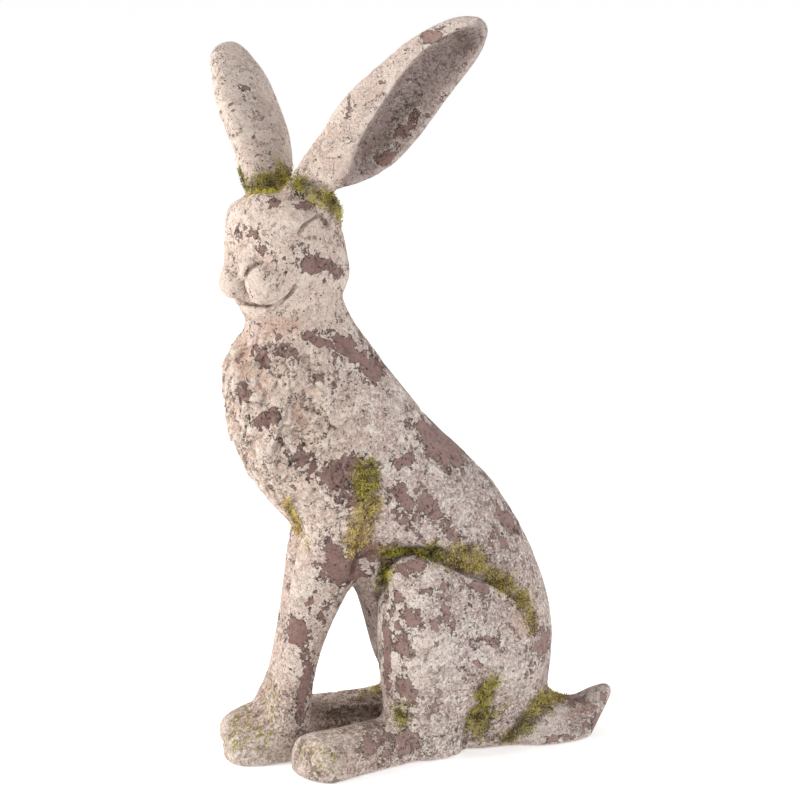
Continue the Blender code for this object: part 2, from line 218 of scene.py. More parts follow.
# Whiter, crackled places of the coat
PALE_PATCHES = [
    (394, 640, 10, 22, 0), (455, 620, 26, 14, 20), (352, 372, 22, 12, 40), (300, 350, 20, 12, 0),
    (405, 462, 16, 10, 0), (470, 520, 18, 14, 40), (340, 305, 12, 10, 0), (300, 590, 12, 30, 10),
    (238, 105, 13, 48, -12), (470, 650, 22, 26, 0), (262, 398, 18, 26, 0),
]

# Slightly darker places of the coat, besides the legs
TANNED_PLACES = [(274, 276, 17, 15, 0), (486, 682, 30, 14, 0)]

# Creases, mouth and lid lines and the far foot, darkened with painted shade
CREASE_SHADOWS = [
    (366, 553, 12, 3, -15), (380, 580, 4, 24, 8), (352, 562, 4, 14, 0), (406, 550, 20, 3, -4),
    (254, 305, 17, 1.6, 3), (284, 300, 10, 1.4, -42), (247, 274, 1.6, 9, 10), (293, 247, 2.6, 3, 0),
    (314, 238, 2.4, 1.8, 0), (301, 243, 3, 1.6, -20), (303, 745, 3, 20, 8), (465, 735, 3, 16, 10),
    (290, 525, 3, 16, -25), (354, 714, 30, 9, -2), (322, 728, 6, 3, 0), (372, 726, 14, 5, 0),
    (340, 725, 14, 3, -8),
]

# Faint green streaks without fibres
GREEN_TINTS = [
    (240, 728, 12, 26, 20), (264, 738, 12, 18, 30), (320, 758, 24, 14, 30), (270, 700, 8, 20, 0),
]


def mirrored(spots):
    """The same spots for the mirror image of the picture."""
    result = []
    for across, down, half_width, half_height, turn, *rest in spots:
        result.append((PICTURE - across, down, half_width, half_height, -turn, *rest))
    return result


# Beds on the side that the picture doesn't show
FAR_MOSS_BEDS = {
    "far_crown": mirrored(MOSS_BEDS["crown"]),
    "far_haunch": mirrored(MOSS_BEDS["haunch"]),
    "far_shank": mirrored(MOSS_BEDS["shank"]),
}


class Spots:
    """Oval spots that are laid on the figure as they are seen in a view."""

    def __init__(self, tree, spots, view=NEAR_SIDE):
        self.view = view
        self.spots = []
        for across, down, half_width, half_height, turn, *rest in spots:
            hit = tree.ray_cast(*view.ray(across, down))[0]
            if hit is not None:
                row = (across, down, half_width, half_height, math.radians(turn), hit, rest)
                self.spots.append(row)

    def depth(self, points, normals):
        """How many picture dots each point lies inside the nearest spot's edge."""
        across, down = self.view.place(points)
        facing = normals @ np.array(self.view.back)
        best = np.full(len(points), -FAR_OFF)
        strength = np.zeros(len(points))
        for u, v, half_width, half_height, turn, hit, rest in self.spots:
            du, dv = across - u, down - v
            along = du * math.cos(turn) + dv * math.sin(turn)
            aside = -du * math.sin(turn) + dv * math.cos(turn)
            reach = np.sqrt((along / half_width) ** 2 + (aside / half_height) ** 2)
            inside = (1 - reach) * math.sqrt(half_width * half_height)
            gap = np.linalg.norm(points - np.array(hit), axis=1) / DOT
            inside -= np.maximum(gap - 2.2 * max(half_width, half_height) - 12, 0)
            inside -= FACING_AWAY * soft_step(-facing, -0.05, 0.15)
            if rest:
                strength = np.where(inside > best, rest[0], strength)
            best = np.maximum(best, inside)
        return best, strength


# The cast's skin


def select_only(thing):
    bpy.ops.object.select_all(action="DESELECT")
    bpy.context.view_layer.objects.active = thing
    thing.select_set(True)


def add_modifier(thing, kind, **settings):
    modifier = thing.modifiers.new(kind.title(), kind)
    for key, value in settings.items():
        setattr(modifier, key, value)
    select_only(thing)
    bpy.ops.object.modifier_apply(modifier=modifier.name)


def copy_of_cast(name):
    """A merged copy of the solid's mesh as an object of its own."""
    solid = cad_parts["rabbit_figure"]
    copy = bpy.data.objects.new(name, solid.data.copy())
    copy.matrix_world = solid.matrix_world
    bpy.context.scene.collection.objects.link(copy)
    select_only(copy)
    bpy.ops.object.transform_apply(location=True, rotation=True, scale=True)
    bpy.ops.object.mode_set(mode="EDIT")
    bpy.ops.mesh.select_all(action="SELECT")
    bpy.ops.mesh.remove_doubles(threshold=0.00002)
    bpy.ops.object.mode_set(mode="OBJECT")
    return copy


def read_skin(mesh):
    count = len(mesh.vertices)
    points = np.empty(3 * count, dtype=np.float32)
    normals = np.empty(3 * count, dtype=np.float32)
    mesh.vertices.foreach_get("co", points)
    mesh.vertex_normals.foreach_get("vector", normals)
    return points.reshape(-1, 3).astype(float), normals.reshape(-1, 3).astype(float)


def write_skin(mesh, points):
    mesh.vertices.foreach_set("co", points.astype(np.float32).ravel())
    mesh.update()


def skin_tree(mesh):
    corners = [tuple(v.co) for v in mesh.vertices]
    return BVHTree.FromPolygons(corners, [tuple(face.vertices) for face in mesh.polygons])


def neighbour_mean(mesh, values, rounds):
    """The values averaged over each point's neighbours, several times over."""
    edges = np.empty(2 * len(mesh.edges), dtype=np.int32)
    mesh.edges.foreach_get("vertices", edges)
    first, second = edges.reshape(-1, 2).T
    count = len(values)
    shares = np.bincount(first, minlength=count) + np.bincount(second, minlength=count)
    values = values.copy()
    for _ in range(rounds):
        for column in range(values.shape[1]):
            line = values[:, column]
            total = np.bincount(first, line[second], count)
            total += np.bincount(second, line[first], count)
            values[:, column] = 0.5 * line + 0.5 * total / shares
    return values


def between(stations, share):
    """A point on the smooth curve through the stations, at a share of the way."""
    spans = len(stations) - 1
    span = min(int(share * spans), spans - 1)
    t = share * spans - span
    a = stations[max(span - 1, 0)]
    b = stations[span]
    c = stations[span + 1]
    d = stations[min(span + 2, spans)]
    square = (2 * a - 5 * b + 4 * c - d) * t * t
    return 0.5 * (2 * b + (c - a) * t + square + (3 * b - a - 3 * c + d) * t**3)


def head_place():
    return Matrix.Translation(HEAD_CENTRE) @ Matrix.Rotation(HEAD_TURN, 4, "Z")


def chisel(tree, points, push, stations, toward, width, depth):
    """Adds one carved stroke to the push, where its direction first meets the skin."""
    steps = max(int(14 * (len(stations) - 1)), 8)
    for i in range(steps + 1):
        share = i / steps
        hit = tree.ray_cast(between(stations, share), toward)[0]
        if hit is None:
            continue
        taper = min(1, 0.35 + 4 * share, 0.35 + 4 * (1 - share))
        reach = np.linalg.norm(points - np.array(hit), axis=1) / width
        near = reach < 1
        dent = taper * depth * (1 - reach[near] ** 2) ** 2
        push[near] = np.maximum(push[near], dent)


# A drawn line's straight stretches, how deep below it points still belong to it, and a gap for
# the points that don't
STRETCHES = 40
LAYER = 0.016
NOWHERE = 1e9


class DrawnLine:
    """A line on the figure, drawn as it is seen in the picture."""

    def __init__(self, tree, stations):
        smooth = [between([Vector(s) for s in stations], i / STRETCHES) for i in range(STRETCHES + 1)]
        self.places = [(s.x, s.y) for s in smooth]
        self.back = np.array(NEAR_SIDE.back)
        self.shares = []
        self.depths = []
        for i, (across, down) in enumerate(self.places):
            hit = tree.ray_cast(*NEAR_SIDE.ray(across, down))[0]
            if hit is not None:
                self.shares.append(i / STRETCHES)
                self.depths.append(hit.dot(NEAR_SIDE.back))

    def beside(self, points):
        """Dots to the line, below 0 on its left as it is drawn, and the share of the way along."""
        across, down = NEAR_SIDE.place(points)
        gap = np.full(len(points), NOWHERE)
        side = np.ones(len(points))
        share = np.zeros(len(points))
        for i, (start, end) in enumerate(zip(self.places, self.places[1:])):
            du, dv = end[0] - start[0], end[1] - start[1]
            span = du * du + dv * dv
            along = np.clip(((across - start[0]) * du + (down - start[1]) * dv) / span, 0, 1)
            off_across = across - start[0] - along * du
            off_down = down - start[1] - along * dv
            reach = np.hypot(off_across, off_down)
            closer = reach < gap
            gap[closer] = reach[closer]
            side[closer] = np.sign(du * off_down - dv * off_across)[closer]
            share[closer] = ((i + along) / STRETCHES)[closer]
        layer = np.abs(points @ self.back - np.interp(share, self.shares, self.depths))
        gap[layer > LAYER] = NOWHERE
        return gap * side, share


# Creases as they are seen in the picture: places, half width in dots, depth in metres
CREASES = {
    "mouth": ([(234, 300), (250, 304), (266, 307), (279, 303), (290, 294), (296, 284)], 2.6, 0.0026),
    "muzzle_side": ([(264, 262), (254, 266), (247, 273), (245, 281), (247, 291), (252, 300)], 2.4, 0.0011),
    "upper_lid": ([(298, 235), (304, 226), (312, 219), (320, 215), (325, 221), (328, 227)], 2.4, 0.0028),
    "lower_lid": ([(298, 235), (307, 238), (316, 236)], 2.0, 0.0012),
    "brow": ([(304, 216), (314, 209), (326, 210)], 3.0, 0.0008),
    "tear_duct": ([(303, 243), (300, 246)], 1.8, 0.0014),
    "eye_pit": ([(292, 246), (294, 250)], 2.0, 0.0016),
    "lid_pit": ([(314, 236), (317, 240)], 1.8, 0.0014),
    "thigh_crease": ([(384, 604), (384, 580), (391, 563), (405, 554), (424, 555)], 6.0, 0.0060),
    "belly_crease": ([(278, 490), (290, 508), (301, 535)], 3.5, 0.0020),
    "elbow_crease": ([(352, 540), (356, 556), (351, 578)], 4.0, 0.0022),
}

# Whisker pads, the far one in two: across, down, half width, half height, turn, height
WHISKER_PADS = [
    (269, 285, 23, 22, 0, 0.0036),
    (230, 284, 13, 20, 0, 0.0012),
    (243, 285, 8, 16, 0, 0.0012),
]

# The solid's nose wing, which is smoothed away
NOSE_WING = [(233, 262, 9, 14, -20)]

# The thigh's upper edge, from the knee to the rump
THIGH_EDGE = [
    (384, 590), (389, 566), (404, 556), (420, 556), (440, 566), (468, 577), (500, 590), (522, 610),
    (538, 636),
]

# The edge between the near ear's lit front and its hollow, from the root to the tip
EAR_RIDGE = [
    (343, 176), (355, 147), (371, 118), (386, 95), (402, 72), (424, 49), (448, 33), (470, 23),
]

# The far side's face in the head's own frame, in millimetres, drawn from outside the head
FAR_MOUTH = [(-32, -60, -19), (-27, -60, -27), (-17, -60, -33)]
FAR_UPPER_LID = [(-60, -27, 20), (-60, -20, 27), (-60, -11, 32), (-60, -4, 31), (-60, 1, 24)]
FAR_LOWER_LID = [(-60, -27, 20), (-60, -14, 17), (-60, -3, 20)]


def carve_far_face(tree, points):
    """Mouth and lids of the far side, which the picture doesn't show."""
    push = np.zeros(len(points))
    place = head_place()
    turn = place.to_3x3()
    backward, sideways = (0, 1, 0), (1, 0, 0)
    for stations, toward, width, depth in (
        (FAR_MOUTH, backward, 0.003, 0.002),
        (FAR_UPPER_LID, sideways, 0.0022, 0.0014),
        (FAR_LOWER_LID, sideways, 0.0020, 0.0008),
    ):
        line = [place @ (Vector(station) * 0.001) for station in stations]
        chisel(tree, points, push, line, turn @ Vector(toward), width, depth)
    return push


def ease(mesh):
    """Smooths the solid's thigh rim and nose wing away, where the picture has other edges."""
    points, normals = read_skin(mesh)
    tree = skin_tree(mesh)
    gap, share = DrawnLine(tree, THIGH_EDGE).beside(points)
    near = soft_step(gap, -22, -8) * soft_step(-gap, -44, -30) * soft_step(share, 0.12, 0.25)
    wing, _ = Spots(tree, NOSE_WING).depth(points, normals)
    near = np.maximum(near, soft_step(wing, -1, 4))
    smooth = neighbour_mean(mesh, points, 120)
    write_skin(mesh, points + near[:, None] * (smooth - points))


def carve_creases(tree, points, push):
    """Every drawn crease, deepest along its middle and shallow at its ends."""
    for stations, width, depth in CREASES.values():
        gap, share = DrawnLine(tree, stations).beside(points)
        taper = np.minimum(1, 0.25 + 5 * np.minimum(share, 1 - share))
        reach = np.minimum(np.abs(gap) / width, 1)
        push[:] = np.maximum(push, taper * depth * (1 - reach**2) ** 2)


def raise_pads(tree, points, normals, push):
    """The whisker pads, which end in a sharp edge on their left."""
    across, _ = NEAR_SIDE.place(points)
    for *spot, height in WHISKER_PADS:
        inside, _ = Spots(tree, [spot]).depth(points, normals)
        reach = np.clip(1 - inside / math.sqrt(spot[2] * spot[3]), 0, 1)
        sharpness = 0.55 + 1.1 * soft_step(across - spot[0], -8, 10)
        push -= height * (1 - reach**2) ** sharpness


def carve_thigh(tree, points, push):
    """The ledge along the thigh's upper edge and the groove above it."""
    gap, share = DrawnLine(tree, THIGH_EDGE).beside(points)
    ledge = soft_step(-gap, -42, -6) * soft_step(gap, -1.0, 1.5)
    groove = soft_step(gap, -14, -2) * soft_step(-gap, -1.5, 1.0)
    ends = soft_step(share, 0, 0.1) * soft_step(1 - share, 0, 0.1)
    push += ends * (THIGH_GROOVE * groove - THIGH_LEDGE * ledge)


def carve_tail(points, normals, push):
    """The dip in the tail's upper line."""
    across, _ = NEAR_SIDE.place(points)
    upper = soft_step(normals[:, 2], 0.05, 0.55) * soft_step(points[:, 1], 0.10, 0.115)
    push += TAIL_DIP * upper * np.exp(-(((across - TAIL_DIP_ACROSS) / TAIL_DIP_REACH) ** 2))


def carve_ear(tree, points, normals, push):
    """The near ear's hollow and the ridge beside it, on the side that is seen."""
    gap, share = DrawnLine(tree, EAR_RIDGE).beside(points)
    taper = soft_step(share, 0.02, 0.2) * soft_step(1 - share, 0, 0.12)
    taper *= soft_step(normals @ np.array(NEAR_SIDE.back), -0.05, 0.15)
    hollow = EAR_HOLLOW * soft_step(gap, 0.2, 6) * soft_step(-gap, -34, -13)
    ridge = EAR_RIM * soft_step(gap, -9, 0) * soft_step(-gap, -1.5, 0)
    push += taper * (hollow - ridge)


def carve(mesh):
    """The lines of the face, the creases of the body and the edges of thigh, tail and ear."""
    ease(mesh)
    points, normals = read_skin(mesh)
    tree = skin_tree(mesh)
    push = carve_far_face(tree, points)
    carve_creases(tree, points, push)
    raise_pads(tree, points, normals, push)
    carve_thigh(tree, points, push)
    carve_tail(points, normals, push)
    carve_ear(tree, points, normals, push)
    write_skin(mesh, points - normals * push[:, None])


def chest_share(points, normals):
    """How far each point belongs to the shaggy front of the chest, from 0 to 1."""
    height = soft_step(points[:, 2], 0.185, 0.225) * soft_step(-points[:, 2], -0.335, -0.300)
    front = soft_step(-normals[:, 1], -0.30, 0.30)
    body = soft_step(-points[:, 1], 0.02, 0.06)
    return height * front * body


def fur_locks(points, size, seed):
    """Tilted flakes that overlap like fur: each is low at its top edge and high at its lower one."""
    place = points / (size * np.array((1, 1, 1.8)))
    cell = np.floor(place).astype(np.int64)
    best = np.full(len(points), NOWHERE)
    lift = np.zeros(len(points))
    for corner in range(27):
        seat = cell + np.array((corner % 3, corner // 3 % 3, corner // 9)) - 1
        shift = np.stack([lattice(seat, seed + axis) for axis in range(3)], axis=1)
        offset = place - seat - 0.5 - 0.4 * shift
        gap = (offset**2).sum(axis=1)
        closer = gap < best
        best[closer] = gap[closer]
        lift[closer] = (0.8 * lattice(seat, seed + 3) - 1.1 * offset[:, 2])[closer]
    return lift


def shifted(points, size, seeds):
    """The points, moved about by waves of a size, so that a pattern laid on them bends."""
    return points + 0.003 * np.stack([ripple(points, size, seed) for seed in seeds], axis=1)


def roughen(mesh):
    """The chest's fur, and the waves and small hollows of the coat."""
    points, normals = read_skin(mesh)
    chest = chest_share(points, normals)
    bent = shifted(points, 0.016, (3, 4, 5))
    push = COAT_WAVES * ripple(points, 0.024, 41, 3) * (1 - 0.5 * chest)
    body = soft_step(points[:, 2], 0.10, 0.16) * soft_step(-points[:, 2], -0.345, -0.325)
    shaggy = 0.16 * body + 0.84 * chest
    furred = shaggy > 0.01
    locks = LARGE_LOCKS * fur_locks(bent[furred], 0.013, 11)
    locks += SMALL_LOCKS * fur_locks(bent[furred], 0.007, 19)
    waves = FUR_WAVES * ripple(bent[furred], 0.030, 21, 1, (1, 1, 1.6))
    push[furred] += shaggy[furred] * (locks + waves)
    calm = soft_step(points[:, 2], 0.43, 0.46)
    push -= (1 - calm) * COAT_HOLLOWS * soft_step(ripple(bent, 0.009, 51), 0.70, 0.95)
    push *= soft_step(points[:, 2], 0.0004, 0.004)
    write_skin(mesh, points + normals * push[:, None])


def add_numbers(mesh, name, values):
    attribute = mesh.attributes.new(name, "FLOAT", "POINT")
    attribute.data.foreach_set("value", values.astype(np.float32))


def hidden_side(normals):
    """1 on the sides that the camera doesn't see, and 0 on those that it does."""
    return soft_step(-(normals @ np.array(NEAR_SIDE.back)), -0.1, 0.15)


def bareness(tree, points, normals):
    """Above 0 where the coat has come off, in picture dots from the edge of the patch."""
    depth, _ = Spots(tree, BARE_PATCHES).depth(points, normals)
    bent = shifted(points, 0.012, (6, 7, 8))
    ragged = 3.0 * ripple(bent, 0.016, 61, 2) + 3.0 * ripple(bent, 0.006, 62, 2)
    hidden = hidden_side(normals)
    random_patches = 26 * (ripple(bent, 0.042, 71, 3) - 0.62) + ragged
    unseen = np.where(hidden > 0, random_patches * hidden - FACING_AWAY * (1 - hidden), -FAR_OFF)
    return np.maximum(depth + ragged, unseen)


def mossiness(tree, points, normals):
    """Above 0 inside the moss beds, and how green the moss is there."""
    near_beds = [spot for bed in MOSS_BEDS.values() for spot in bed]
    far_beds = [spot for bed in FAR_MOSS_BEDS.values() for spot in bed]
    depth, green = Spots(tree, near_beds).depth(points, normals)
    far_depth, far_green = Spots(tree, far_beds, FAR_SIDE).depth(points, normals)
    green = np.where(far_depth > depth, far_green, green)
    depth = np.maximum(depth, far_depth)
    return depth + 2.5 * ripple(points, 0.008, 81, 2), green


def wear_share(points, chest):
    """How worn the coat is: most on back and rump, least on head and ears."""
    y, z = points[:, 1], points[:, 2]
    thigh = np.exp(-(((y - 0.02) / 0.05) ** 2 + ((z - 0.10) / 0.05) ** 2))
    back = soft_step(y + 0.6 * z, 0.02, 0.16)
    wear = 0.20 + 0.04 * chest + 0.15 * thigh + 0.30 * back
    wear -= 0.10 * soft_step(z, 0.31, 0.36) + 0.25 * soft_step(z, 0.42, 0.45)
    wear += 0.20 * soft_step(y, 0.09, 0.13)
    wear += 0.35 * ripple(points, 0.05, 91, 2)
    return np.clip(wear, 0, 1)


def paint_numbers(mesh, tree):
    """The numbers per point that the finish reads."""
    points, normals = read_skin(mesh)
    y, z = points[:, 1], points[:, 2]

    def inside(spots):
        return Spots(tree, spots).depth(points, normals)[0]

    moss, green = mossiness(tree, points, normals)
    # How hollow each point lies, which sets the painted shade in hollows and the painted highlight on
    # rounded parts
    smooth = neighbour_mean(mesh, points, 14)
    hollow = np.einsum("ij,ij->i", smooth - points, normals) / FULL_HOLLOW
    chest = chest_share(points, normals)
    rust = inside(RUST_STAINS) + 3 * ripple(points, 0.01, 95, 2)
    legs = soft_step(-z, -0.20, -0.13) * soft_step(-y, 0.02, 0.07)
    ridge, _ = DrawnLine(tree, EAR_RIDGE).beside(points)
    numbers = {
        "bare": bareness(tree, points, normals),
        "moss": moss,
        "green": green,
        "shadow": np.minimum(inside(CREASE_SHADOWS), 2.2),
        "hollow": np.clip(hollow, -1.5, 1.5),
        "chest": chest,
        "wear": wear_share(points, chest),
        # Front share: painted orange-tinted light with the coat's own peach tint, and painted shade on the
        # bare body
        "front_lighting_and_tint": soft_step(-y, -0.03, 0.09) * (1 - 0.3 * soft_step(z, 0.44, 0.5)),
        "rust": soft_step(rust, -6, 6),
        "pale": soft_step(inside(PALE_PATCHES), -8, 8),
        "dirt": soft_step(-z, -0.075, -0.015) * soft_step(-y, -0.08, 0.0),
        "tint": soft_step(inside(GREEN_TINTS), -5, 6),
        "head": soft_step(z, 0.315, 0.345),
        "tan": np.maximum(legs, soft_step(inside(TANNED_PLACES), -6, 6)),
        # The near ear's hollow: painted shade, with its dark specks over it
        "ear": soft_step(ridge, 0, 5) * soft_step(-ridge, -60, -50),
    }
    for name, values in numbers.items():
        add_numbers(mesh, name, values)


def make_cast():
    """The whole figure in fine mesh, from the solid's own form."""
    cast = copy_of_cast("hare_cast")
    levels = 2
    add_modifier(cast, "SUBSURF", levels=levels, render_levels=levels)
    add_modifier(cast, "REMESH", mode="VOXEL", voxel_size=SKIN_FINENESS * 1)
    add_modifier(cast, "SMOOTH", factor=0.5, iterations=8)
    carve(cast.data)
    roughen(cast.data)
    share = min(1, MOST_TRIANGLES / (2 * len(cast.data.polygons)))
    add_modifier(cast, "DECIMATE", ratio=share, use_collapse_triangulate=True)
    tree = skin_tree(cast.data)
    paint_numbers(cast.data, tree)
    select_only(cast)
    bpy.ops.object.shade_smooth()
    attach(cast, "root")
    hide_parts("rabbit_figure")
    return cast, tree


# Finishes


class Value:
    """A number that varies over a surface; sums with it add Math nodes."""

    def __init__(self, finish, socket):
        self.finish = finish
        self.socket = socket

    def __add__(self, other):
        return self.finish.math("ADD", self, other)

    def __sub__(self, other):
        return self.finish.math("SUBTRACT", self, other)

    def __rsub__(self, other):
        return self.finish.math("SUBTRACT", other, self)

    def __mul__(self, other):
        return self.finish.math("MULTIPLY", self, other)

    __radd__ = __add__
    __rmul__ = __mul__

    def step(self, low, high):
        """0 below low, 1 above high and smooth between them."""
        settings = {"interpolation_type": "SMOOTHSTEP", "clamp": True}
        ends = {"Value": self, "From Min": low, "From Max": high}
        return Value(self.finish, self.finish.node("ShaderNodeMapRange", settings, ends).outputs[0])

    def top(self, other):
        return self.finish.math("MAXIMUM", self, other)

    def size(self):
        return self.finish.math("ABSOLUTE", self)


class Finish:
    """A material that is written as sums and mixes."""

    def __init__(self, name):
        self.material = bpy.data.materials.new(name)
        self.material.use_nodes = True
        self.tree = self.material.node_tree
        self.shader = self.tree.nodes["Principled BSDF"]
        coordinates = self.tree.nodes.new("ShaderNodeTexCoord")
        self.place = coordinates.outputs["Object"]

    def node(self, kind, settings, values):
        node = self.tree.nodes.new(kind)
        for key, setting in settings.items():
            setattr(node, key, setting)
        for key, value in values.items():
            self.feed(node.inputs[key], value)
        return node

    def feed(self, socket, value):
        if isinstance(value, Value):
            value = value.socket
        if isinstance(value, bpy.types.NodeSocket):
            self.tree.links.new(value, socket)
        else:
            socket.default_value = value

    def math(self, operation, *values):
        inputs = dict(enumerate(values))
        return Value(self, self.node("ShaderNodeMath", {"operation": operation}, inputs).outputs[0])

    def grain(self, scale, detail=2, roughness=0.5, place=None):
        """Cloudy noise from 0 to 1."""
        values = {
            "Vector": place or self.place,
            "Scale": scale,
            "Detail": detail,
            "Roughness": roughness,
        }
        return Value(self, self.node("ShaderNodeTexNoise", {}, values).outputs[0])

    def holes(self, scale, rarity, place):
        """Small round holes in a few of many cells, more of them the lower the rarity."""
        values = {"Vector": place, "Scale": scale}
        cell = self.node("ShaderNodeTexVoronoi", {}, values)
        parts = self.node("ShaderNodeSeparateColor", {}, {"Color": cell.outputs["Color"]})
        chosen = Value(self, parts.outputs["Red"]).step(rarity, rarity + 0.01)
        size = Value(self, parts.outputs["Green"]) * 0.16
        return chosen * (1 - (Value(self, cell.outputs["Distance"]) - size).step(0.04, 0.20))

    def cell_number(self, scale, place):
        """A number from 0 to 1 that is the same all over each of many angular cells."""
        values = {"Vector": place, "Scale": scale}
        colour = self.node("ShaderNodeTexVoronoi", {}, values).outputs["Color"]
        parts = self.node("ShaderNodeSeparateColor", {}, {"Color": colour})
        return Value(self, parts.outputs["Red"])

    def number(self, name):
        """One of the numbers that the skin's points carry."""
        settings = {"attribute_name": name}
        return Value(self, self.node("ShaderNodeAttribute", settings, {}).outputs["Fac"])

    def mix(self, share, under, over):
        """A colour over another by a share of it."""
        return self.node("ShaderNodeMix", {"data_type": "RGBA"}, {0: share, 6: under, 7: over}).outputs[2]

    def layers(self, colour, *coats):
        """The colour with named paints over it in turn, each by its own share."""
        for share, name in coats:
            colour = self.mix(share, colour, paint(name))
        return colour

    def relief(self, height, distance):
        values = {"Height": height, "Distance": distance, "Strength": 1.0}
        return self.node("ShaderNodeBump", {}, values).outputs[0]

    def jitter(self, amount, scale):
        """The place, shifted about by a coloured noise."""
        noise = self.node("ShaderNodeTexNoise", {}, {"Vector": self.place, "Scale": scale})
        centred = self.node(
            "ShaderNodeVectorMath",
            {"operation": "SUBTRACT"},
            {0: noise.outputs["Color"], 1: (0.5, 0.5, 0.5)},
        ).outputs[0]
        scaled = self.node(
            "ShaderNodeVectorMath", {"operation": "SCALE"}, {0: centred, "Scale": amount}
        ).outputs[0]
        return self.node(
            "ShaderNodeVectorMath", {"operation": "ADD"}, {0: self.place, 1: scaled}
        ).outputs[0]


# Paints, in the eight-bit steps of a screen
PAINTS = {
    "cream": (240, 226, 215),
    "rosy cream": (228, 211, 202),
    "thinned coat": (190, 163, 156),
    "rubbed coat": (182, 155, 148),
    "chalk": (242, 236, 231),
    "dark film": (134, 107, 100),
    "light film": (254, 246, 239),
    "light grains": (253, 246, 238),
    "dark grains": (116, 92, 85),
    "smooth face": (218, 197, 185),
    # Partly the coat's own tint, partly painted orange-tinted light on the front
    "peach": (244, 214, 190),
    "rust": (200, 146, 116),
    "ear hollow shade": (142, 124, 121),
    "ear specks": (92, 75, 71),
    "tan": (148, 120, 102),
    "plate edge shadow": (92, 71, 65),
    "flake rim highlight": (250, 240, 230),
    "mauve body": (152, 125, 118),
    # The bare body's colour on the front, darkened with painted shade
    "brown body": (130, 101, 94),
    "body cloud": (156, 128, 120),
    "dusty body": (166, 142, 133),
    "shaded ear body": (104, 78, 68),
    "dark body": (120, 95, 89),
    "light body": (186, 162, 153),
    "body grains": (200, 178, 168),
    "coat_edge_shadow": (58, 43, 40),
    # Painted shade in the small holes
    "pit": (66, 52, 48),
    # Painted shadow in the thin cracks
    "crack": (50, 38, 34),
    "hollow shade": (104, 82, 72),
    "ground dirt": (118, 92, 76),
    "crease shade": (72, 48, 38),
    "convex highlight": (246, 232, 220),
    "dry soil": (122, 98, 62),
    "moss soil and shade": (46, 42, 12),
    "green streak": (146, 138, 30),
    "dark straw": (114, 86, 46),
    "light straw": (242, 216, 148),
    "dark moss": (38, 38, 6),
    "light moss": (188, 180, 58),
    "shade at moss roots": (26, 24, 8),
}


def paint(name):
    """A named paint in the shader's own numbers."""
    steps = [step / 255 for step in PAINTS[name]]
    linear = [s / 12.92 if s <= 0.04045 else ((s + 0.055) / 1.055) ** 2.4 for s in steps]
    return (*linear, 1.0)


